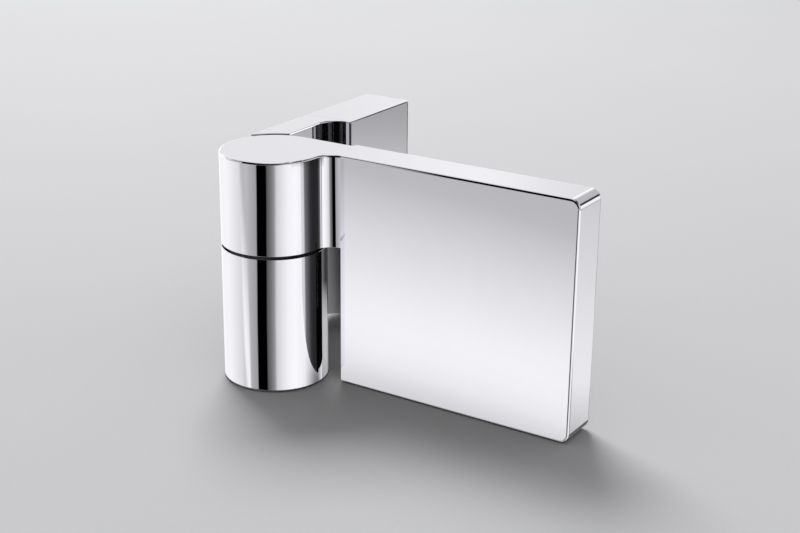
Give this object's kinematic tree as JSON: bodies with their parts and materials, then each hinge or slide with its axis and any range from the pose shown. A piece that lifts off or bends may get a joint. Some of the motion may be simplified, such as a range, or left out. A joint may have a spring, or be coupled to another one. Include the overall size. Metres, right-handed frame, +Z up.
{
  "type": "glass door hinge",
  "caption": "Polished chrome glass door hinge for a shower: a wall bracket and a door leaf on one split barrel, where helical cams lift the door as it opens.",
  "frame": {"origin": "centre of the barrel's foot, on the hinge axis", "axes": "+Z up along the hinge axis, +X along the closed door leaf, +Y towards the glass; the wall lies beyond -X"},
  "size_m": [0.1004, 0.078, 0.0625],
  "materials": {
    "polished_chrome": "mirror-polished chrome plating on cast brass",
    "stainless_steel": "turned stainless steel",
    "spring_steel": "blackened spring steel",
    "bush_polymer": "natural acetal",
    "cam_polymer": "black acetal",
    "gasket_rubber": "black rubber"
  },
  "bodies": {
    "wall_side": {"wall_bracket": "polished_chrome", "bracket_cover": "polished_chrome", "cover_screws": "stainless_steel", "wall_gasket": "gasket_rubber", "foot_plug": "cam_polymer", "plug_o_ring": "gasket_rubber", "foot_bush": "bush_polymer", "middle_bush": "bush_polymer", "lower_cam": "cam_polymer", "lower_cam_key": "stainless_steel", "slide_washer": "cam_polymer"},
    "pin": {"hinge_pin": "stainless_steel", "pin_circlip": "spring_steel", "thrust_washer": "stainless_steel"},
    "door_side": {"door_leaf": "polished_chrome", "glass_gasket": "gasket_rubber", "upper_cam": "cam_polymer", "upper_cam_key": "stainless_steel", "top_bush": "bush_polymer"}
  },
  "joints": [
    {"name": "door_swing", "type": "hinge", "parent": "wall_side", "child": "pin", "pos_m": [0, 0, 0.03], "axis": [0, 0, -1], "range_deg": [0, 100]},
    {"name": "door_lift", "type": "slide", "parent": "pin", "child": "door_side", "axis": [0, 0, 1], "range_m": [0, 0.005]}
  ],
  "couplings": [
    {"joint": "door_lift", "follows": "door_swing", "m_per_rad": 0.0028648}
  ]
}
